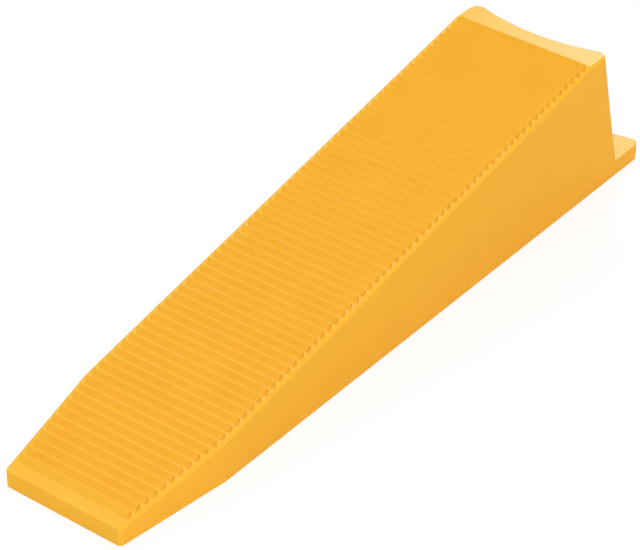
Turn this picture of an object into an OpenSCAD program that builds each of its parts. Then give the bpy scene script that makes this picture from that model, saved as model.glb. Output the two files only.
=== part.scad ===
// Levelling wedge for laying tiles. A moulded ramp with a fine ratchet of teeth slides
// through the window of a clip, and pliers push on the scooped back above a thin heel.
// The tip points to -X, the heel to +X, and the underside lies on the level z = 0.

/* [Body] */
// Overall length from the front face to the back edge of the heel
body_l = 98.3; // [85:0.1:120]
// Width across the parallel sides
body_w = 20; // [18:0.5:24]
// Height of the level band at the thick end
body_h = 19.2; // [16:0.1:23]
// Width of the bevel along the upper side edges
edge_w = 0.38; // [0.2:0.02:0.45]
// Depth of that bevel at the sides
edge_d = 0.2; // [0.1:0.02:0.4]

/* [Tip] */
// Height of the front face
tip_h = 2.2; // [1.6:0.1:3]
// Width of the front face, measured between its sharp corners
tip_w = 16.4; // [14:0.1:17.5]
// Length of the tapered nose
nose_l = 15.4; // [10:0.2:20]
// Radius of the upright corners of the front face
tip_r = 0.6; // [0.2:0.1:2]

/* [Ratchet] */
// Bare lip between the front face and the first tooth
lip_l = 1.6; // [0.8:0.1:5]
// Level distance from tooth to tooth
tooth_pitch = 1.25; // [1.1:0.05:2.5]
// Length of a tooth's foot along the slope
tooth_l = 1.05; // [0.95:0.05:1.05]
// Length of a tooth's ramp, from its start to the crest
ramp_l = 0.75; // [0.6:0.05:0.85]
// Height of a crest above the slope
tooth_h = 0.6; // [0.3:0.05:0.8]
// Radius of the corners at the ends of the teeth
tooth_r = 0.36; // [0.1:0.02:0.44]
// Margin between the ends of the teeth and the sides
margin_w = 0.75; // [0.5:0.05:2]

/* [Back] */
// Least length of the level band between the teeth and the scoop
band_l = 2.1; // [1.2:0.1:5]
// Radius of the soft bend from the slope to the band
bend_r = 2; // [1:0.1:2.2]
// Radius of the scoop that takes the jaw of the pliers
scoop_r = 28; // [18:1:60]
// Lean of the back from the vertical, in degrees
back_lean = 14.5; // [4:0.1:18]
// Radius of the horns at both ends of the scoop
horn_r = 1.3; // [0.6:0.1:2.4]

/* [Heel] */
// Length of the heel behind the foot of the scoop
heel_l = 6.2; // [4.5:0.1:12]
// Thickness of the heel
heel_t = 2.2; // [1.6:0.1:4]
// Radius of the hollow back edge of the heel
heel_scoop_r = 40; // [25:1:80]
// Radius of the corners of the heel
heel_r = 1; // [0.5:0.1:3]

/* [Coring] */
// Thickness of the walls at the sides and the back of the cells
wall_t = 2; // [1.6:0.1:3]
// Thickness of the roof above the cells, measured upright
roof_t = 2.4; // [1.8:0.1:3]
// Solid length between the nose and the first cells
solid_l = 3.6; // [2:0.1:10]
// Thickness of the rib along the middle
rib_t = 1.6; // [1:0.1:2.5]
// Thickness of the ribs across
cross_t = 1.4; // [1:0.1:2.5]
// Number of cells in each of the two rows
cell_n = 7; // [5:1:9]
// Radius of the upright corners of the cells
cell_r = 0.8; // [0.3:0.1:1.2]

/* [Hidden] */
$fn = 48;

// Spare length of cutting shapes past the faces that they cut
spare = 2;
// Depth of the foot of each tooth below the slope
tooth_foot = 0.3;
// Depth below the slope at which a tooth's ramp and back start at the ends of its foot
ramp_toe = 0.03;

// Places along the length, from the front face
foot_x = body_l - heel_l;
scoop_x = foot_x - (body_h - heel_t) * tan(back_lean);
tooth_n = floor((scoop_x - band_l - lip_l) / tooth_pitch);
field_x = lip_l + tooth_n * tooth_pitch;
cells_x = nose_l + solid_l;
cells_end = foot_x + heel_t * tan(back_lean) - wall_t / cos(back_lean);

// Slope of the ramp and taper of the nose, in degrees
slope = atan((body_h - tip_h) / field_x);
taper = atan((body_w - tip_w) / 2 / nose_l);
slope_taper = atan((body_w - tip_w) / 2 / (nose_l / cos(slope)));
slope_l = body_l / cos(slope);

// Cells of the underside
cell_l = (cells_end - cells_x - (cell_n - 1) * cross_t) / cell_n;
cell_w = (body_w - rib_t) / 2 - wall_t;

// Height of the slope at a distance from the front face
function slope_z(x) = tip_h + x * tan(slope);

// Half of the body's width at a distance from the front face
function half_w(x) = min(body_w / 2, tip_w / 2 + x * tan(taper));

// Distance from the deepest point of a scooped end to the middle of its round corners
function corner_x(scoop, corner) = scoop - sqrt(pow(scoop + corner, 2) - pow(body_w / 2 - corner, 2));

// Puts its children on the slope: x runs up the slope, z stands square to it
module on_slope(x = 0) {
    translate([x, 0, slope_z(x)])
        rotate([0, -slope, 0])
            children();
}

// Prism across the width from an outline in x and z
module across(width) {
    rotate([90, 0, 0])
        linear_extrude(height = width, center = true)
            children();
}

// Both sides of what is made for the +Y side
module both_sides() {
    children();
    mirror([0, 1, 0])
        children();
}

// End across the whole width with two round corners and a scoop between them.
// The deepest point of the scoop lies at x = 0.
module scooped_end(scoop, corner) {
    x = corner_x(scoop, corner);
    y = body_w / 2 - corner;
    share = corner / (scoop + corner);
    meet_x = x + share * (scoop - x);
    meet_y = y * (1 - share);
    difference() {
        union() {
            translate([x - body_l, -body_w])
                square([body_l, 2 * body_w]);
            for (s = [-1, 1])
                translate([x, s * y])
                    circle(corner);
            polygon([
                [x - corner, y],
                [x, y],
                [meet_x, meet_y],
                [meet_x, -meet_y],
                [x, -y],
                [x - corner, -y]
            ]);
        }
        translate([scoop, 0])
            circle(scoop, $fn = 180);
    }
}

// Outline of the whole wedge seen from above
module plan_outline() {
    cut = tip_r / tan((90 + taper) / 2);
    side = [
        [0, tip_w / 2 - cut],
        [cut * cos(taper), tip_w / 2 + cut * sin(taper)],
        [nose_l, body_w / 2],
        [body_l, body_w / 2]
    ];
    far_side = [for (i = [len(side) - 1:-1:0]) [side[i][0], -side[i][1]]];
    intersection() {
        union() {
            polygon(concat(side, far_side));
            for (s = [-1, 1])
                translate([tip_r, s * (tip_w / 2 - cut)])
                    circle(tip_r);
        }
        translate([body_l - heel_r - corner_x(heel_scoop_r, heel_r), 0])
            scooped_end(heel_scoop_r, heel_r);
    }
}

// Side view of the ramp and the level band, with a soft bend between them
module side_outline() {
    cut = bend_r * tan(slope / 2);
    translate([field_x + cut, body_h - bend_r])
        circle(bend_r, $fn = 180);
    polygon([
        [-spare, -spare],
        [-spare, slope_z(-spare)],
        [field_x - cut * cos(slope), body_h - cut * sin(slope)],
        [field_x + cut, body_h],
        [body_l + spare, body_h],
        [body_l + spare, -spare]
    ]);
}

// Space behind the leaning back and above the heel
module back_cut() {
    difference() {
        translate([scoop_x - spare, -body_w, heel_t])
            cube([body_l - scoop_x + 2 * spare, 2 * body_w, body_h]);
        translate([foot_x, 0, heel_t])
            rotate([0, -back_lean, 0])
                linear_extrude(height = 4 * body_h, center = true)
                    scooped_end(scoop_r, horn_r);
    }
}

// Block that takes a bevel off an edge along x at a distance from the middle
module edge_cut(length, y, turn = 0) {
    translate([0, y, 0])
        rotate([0, 0, turn])
            translate([-spare, -edge_w, 0])
                rotate([-atan(edge_d / edge_w), 0, 0])
                    translate([0, -spare, 0])
                        cube([length + 2 * spare, 2 * spare, spare]);
}

// Bevels along the upper edges of the nose, the ramp and the band
module bevels() {
    both_sides() {
        on_slope() {
            edge_cut(slope_l, body_w / 2);
            edge_cut(nose_l, tip_w / 2, slope_taper);
        }
        translate([field_x - spare, 0, body_h])
            edge_cut(body_l - field_x, body_w / 2);
    }
}

// Rectangle with round corners
module round_rect(length, width, radius) {
    translate([radius, 0])
        square([length - 2 * radius, width]);
    translate([0, radius])
        square([length, width - 2 * radius]);
    for (x = [radius, length - radius], y = [radius, width - radius])
        translate([x, y])
            circle(radius);
}

// Side view of the cored space under the roof
module core_outline() {
    top = body_h - roof_t;
    intersection() {
        polygon([
            [0, -spare],
            [0, slope_z(0) - roof_t],
            [field_x, top],
            [body_l, top],
            [body_l, -spare]
        ]);
        polygon([
            [0, -spare],
            [0, top + spare],
            [cells_end - (top + spare) * tan(back_lean), top + spare],
            [cells_end + spare * tan(back_lean), -spare]
        ]);
    }
}

// Cells of the underside, in two rows beside the middle rib
module cells() {
    intersection() {
        across(2 * body_w)
            core_outline();
        translate([0, 0, -spare])
            linear_extrude(height = body_h + spare)
                for (i = [0:cell_n - 1], side = [0, 1])
                    mirror([0, side])
                        translate([cells_x + i * (cell_l + cross_t), rib_t / 2])
                            round_rect(cell_l, cell_w, cell_r);
    }
}

// One tooth: a ramp that rises from the tip's side to a crest, and a steep back.
// Both run on below the slope, so that they rise out of it.
module tooth(half_length) {
    foot_z = -tooth_h - 2 * ramp_toe;
    intersection() {
        translate([0, -half_length, -tooth_foot])
            linear_extrude(height = tooth_foot + 2 * tooth_h)
                round_rect(tooth_l, 2 * half_length, tooth_r);
        across(body_w)
            polygon([
                [-ramp_l, foot_z],
                [ramp_l, tooth_h],
                [2 * tooth_l - ramp_l, foot_z]
            ]);
    }
}

// Ratchet of teeth up the slope, as wide as the body allows
module ratchet() {
    for (i = [0:tooth_n - 1]) {
        x = lip_l + i * tooth_pitch;
        on_slope(x)
            tooth(half_w(x + tooth_l / 2) - margin_w);
    }
}

// Ramp, band, scooped back and heel in one cored piece
module body() {
    difference() {
        intersection() {
            linear_extrude(height = body_h + spare)
                plan_outline();
            across(2 * body_w)
                side_outline();
        }
        back_cut();
        bevels();
        cells();
    }
}

module wedge() {
    color("#f4b03a")
        translate([-body_l / 2, 0, 0]) {
            body();
            ratchet();
        }
}

wedge();
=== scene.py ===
import math

import bmesh
import bpy
from mathutils import Matrix, Vector

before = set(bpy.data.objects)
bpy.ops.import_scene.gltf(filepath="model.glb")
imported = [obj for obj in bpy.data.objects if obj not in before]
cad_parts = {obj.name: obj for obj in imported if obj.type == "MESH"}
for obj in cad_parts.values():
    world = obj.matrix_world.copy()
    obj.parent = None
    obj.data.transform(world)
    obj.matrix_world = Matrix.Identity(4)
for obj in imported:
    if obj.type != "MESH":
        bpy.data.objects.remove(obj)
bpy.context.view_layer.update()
print("frame loaded:", sorted(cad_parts))

mm = 0.001  # the frame is in metres
white = "#FFFFFF"
whiteStrength = 1.0  # strength at which a white surface shows as the picture's white


# sRGB hex to the linear values that sockets take
def linear(hexColour):
    values = [int(hexColour[i:i + 2], 16) / 255 for i in (1, 3, 5)]
    return [v / 12.92 if v <= 0.04045 else ((v + 0.055) / 1.055) ** 2.4 for v in values] + [1.0]


# adds one node, sets its properties and inputs, and links what is a socket
def addNode(tree, kind, inputs=None, **settings):
    node = tree.nodes.new(kind)
    for name, value in settings.items():
        setattr(node, name, value)
    for key, value in (inputs or {}).items():
        if isinstance(value, bpy.types.NodeSocket):
            tree.links.new(value, node.inputs[key])
        else:
            node.inputs[key].default_value = value
    return node


def newMaterial(name):
    material = bpy.data.materials.new(name)
    material.use_nodes = True
    material.node_tree.nodes.clear()
    return material


# wedge: one piece of moulded plastic, shown by its CAD node
wedgeLook = {
    "colour": "#E5AA34",
    "paleColour": "#E7AC36",
    "mottleSize": 5 * mm,  # slow drift of colour from the melt's flow
    "mottleDetail": 2.0,
    "mottleRoughness": 0.5,
    "mottleSpan": (0.35, 0.65),  # noise levels of the colour and the pale colour
    "grainSize": 0.35 * mm,  # eroded mould texture, drawn coarser than the real one so that it shows
    "grainDetail": 3.0,
    "grainRoughness": 0.6,
    "grainDepth": 0.004 * mm,
    "edgeRadius": 0.1 * mm,  # mould edges are never quite sharp
    "edgeSamples": 4,
    "roughness": 0.22,
    "ior": 1.49,
    "specularLevel": 0.015,  # the sheen is weak
}


# polypropylene, moulded in a finely eroded tool: an even, warm body colour with a soft, wide sheen
def mouldedPolypropylene(look):
    material = newMaterial("mouldedPolypropyleneFineMatt")
    tree = material.node_tree
    place = addNode(tree, "ShaderNodeTexCoord").outputs["Object"]
    mottle = addNode(tree, "ShaderNodeTexNoise", {
        "Vector": place, "Scale": 1 / look["mottleSize"],
        "Detail": look["mottleDetail"], "Roughness": look["mottleRoughness"]})
    base = addNode(tree, "ShaderNodeValToRGB", {"Fac": mottle.outputs["Fac"]})
    colours = (look["colour"], look["paleColour"])
    for stop, level, colour in zip(base.color_ramp.elements, look["mottleSpan"], colours):
        stop.position = level
        stop.color = linear(colour)
    grain = addNode(tree, "ShaderNodeTexNoise", {
        "Vector": place, "Scale": 1 / look["grainSize"],
        "Detail": look["grainDetail"], "Roughness": look["grainRoughness"]})
    edges = addNode(tree, "ShaderNodeBevel", {"Radius": look["edgeRadius"]}, samples=look["edgeSamples"])
    bump = addNode(tree, "ShaderNodeBump", {
        "Height": grain.outputs["Fac"], "Distance": look["grainDepth"], "Strength": 1.0,
        "Normal": edges.outputs["Normal"]})
    shader = addNode(tree, "ShaderNodeBsdfPrincipled", {
        "Base Color": base.outputs["Color"], "Roughness": look["roughness"], "IOR": look["ior"],
        "Specular IOR Level": look["specularLevel"], "Normal": bump.outputs["Normal"]})
    addNode(tree, "ShaderNodeOutputMaterial", {"Surface": shader.outputs["BSDF"]})
    return material


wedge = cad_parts["wedge"]
wedge.data.materials.clear()
wedge.data.materials.append(mouldedPolypropylene(wedgeLook))
print("wedge finished")


# floor: a plain white sheet under the wedge
floorLook = {
    "side": 3.0,
    "colour": "#F8F8F8",
    "whiteShare": 0.8,  # share of the picture's white that doesn't depend on the lamps
}


# 1 where the camera sees a surface, straight or through a sheen or glass, and 0 where light bounces off it
def seenDirectly(tree):
    path = addNode(tree, "ShaderNodeLightPath").outputs
    seen = addNode(tree, "ShaderNodeMath", {0: path["Is Camera Ray"], 1: path["Is Glossy Ray"]},
                   operation="MAXIMUM")
    return addNode(tree, "ShaderNodeMath", {0: seen.outputs[0], 1: path["Is Transmission Ray"]},
                   operation="MAXIMUM").outputs[0]


# matt white paint: an even white that still takes the wedge's soft shadow
def mattWhitePaint(look):
    material = newMaterial("mattWhiteFloor")
    tree = material.node_tree
    share = addNode(tree, "ShaderNodeMath", {0: seenDirectly(tree), 1: look["whiteShare"]},
                    operation="MULTIPLY")
    paint = addNode(tree, "ShaderNodeBsdfDiffuse", {"Color": linear(look["colour"])})
    glow = addNode(tree, "ShaderNodeEmission", {"Color": linear(white), "Strength": whiteStrength})
    mix = addNode(tree, "ShaderNodeMixShader", {
        0: share.outputs[0], 1: paint.outputs[0], 2: glow.outputs[0]})
    addNode(tree, "ShaderNodeOutputMaterial", {"Surface": mix.outputs[0]})
    return material


def makeFloor(look):
    mesh = bpy.data.meshes.new("floor")
    shape = bmesh.new()
    bmesh.ops.create_grid(shape, x_segments=1, y_segments=1, size=look["side"] / 2)
    shape.to_mesh(mesh)
    shape.free()
    mesh.materials.append(mattWhitePaint(look))
    floor = bpy.data.objects.new("floor", mesh)
    bpy.context.scene.collection.objects.link(floor)


makeFloor(floorLook)
print("floor laid")


# room: white to look at, and dim as a light
roomLook = {"strength": 0.3}


def makeRoom(look):
    world = bpy.data.worlds.new("whiteRoom")
    world.use_nodes = True
    tree = world.node_tree
    tree.nodes.clear()
    light = addNode(tree, "ShaderNodeBackground", {"Color": linear(white), "Strength": look["strength"]})
    seen = addNode(tree, "ShaderNodeBackground", {"Color": linear(white), "Strength": whiteStrength})
    mix = addNode(tree, "ShaderNodeMixShader", {
        0: seenDirectly(tree), 1: light.outputs[0], 2: seen.outputs[0]})
    addNode(tree, "ShaderNodeOutputWorld", {"Surface": mix.outputs[0]})
    bpy.context.scene.world = world


makeRoom(roomLook)
print("room lit")


# lamps: ellipses that face the wedge, with power in watts, size and place in metres and turn in degrees
lampLook = {
    "topLamp": {  # gives the sheen of the lip and the margins
        "power": 4.1, "size": (0.30, 0.10), "turn": 24, "colour": "#D1E7FF",
        "place": (0.38, 0.50, 0.778)},
    "backLamp": {  # gives the sheen of the band and the heel
        "power": 2.4, "size": (0.1, 0.1), "turn": 0, "colour": "#D1E7FF",
        "place": (0.773, 0.430, 0.534)},
    "eyeLamp": {
        "power": 6.7, "size": (0.5, 0.5), "turn": 0, "colour": "#FCFFFF",
        "place": (-0.55, -0.40, 0.73)},
    "highLamp": {
        "power": 1.4, "size": (0.5, 0.5), "turn": 0, "colour": "#FFFFFF",
        "place": (-0.20, 0.0, 0.98)},
    "rightLamp": {
        "power": 1.7, "size": (0.5, 0.5), "turn": 0, "colour": "#FFC488",
        "place": (0.0, -0.95, 0.20)},
    "leftLamp": {
        "power": 1.8, "size": (0.5, 0.5), "turn": 0, "colour": "#FFD090",
        "place": (0.60, 0.70, 0.30)},
}


# turn of a lamp or a camera that looks from its place to a target and rolls about that line
def facing(place, target, roll):
    aim = (Vector(target) - Vector(place)).to_track_quat("-Z", "Y").to_matrix()
    return aim @ Matrix.Rotation(math.radians(roll), 3, "Z")


def makeLamp(name, look):
    data = bpy.data.lights.new(name, "AREA")
    data.shape = "ELLIPSE"
    data.energy = look["power"]
    data.color = linear(look["colour"])[:3]
    data.size, data.size_y = look["size"]
    lamp = bpy.data.objects.new(name, data)
    lamp.location = look["place"]
    lamp.rotation_euler = facing(look["place"], (0, 0, 0), look["turn"]).to_euler()
    lamp.visible_camera = False
    bpy.context.scene.collection.objects.link(lamp)


for name, look in lampLook.items():
    makeLamp(name, look)
print("lamps set")


# camera: where the photograph was taken from
cameraLook = {
    "place": (-221.20 * mm, -164.14 * mm, 199.15 * mm),
    "target": (-4.19 * mm, 0.066 * mm, 6.578 * mm),
    "roll": 0.872,
    "lens": 162.46,
    "sensor": 36.0,
    "clipStart": 1 * mm,
}


def makeCamera(look):
    data = bpy.data.cameras.new("camera")
    data.sensor_fit = "HORIZONTAL"
    data.sensor_width = look["sensor"]
    data.lens = look["lens"]
    data.clip_start = look["clipStart"]
    camera = bpy.data.objects.new("camera", data)
    turn = facing(look["place"], look["target"], look["roll"])
    camera.matrix_world = Matrix.Translation(Vector(look["place"])) @ turn.to_4x4()
    bpy.context.scene.collection.objects.link(camera)
    bpy.context.scene.camera = camera


makeCamera(cameraLook)
bpy.context.scene.view_settings.view_transform = "Standard"
print("camera set")
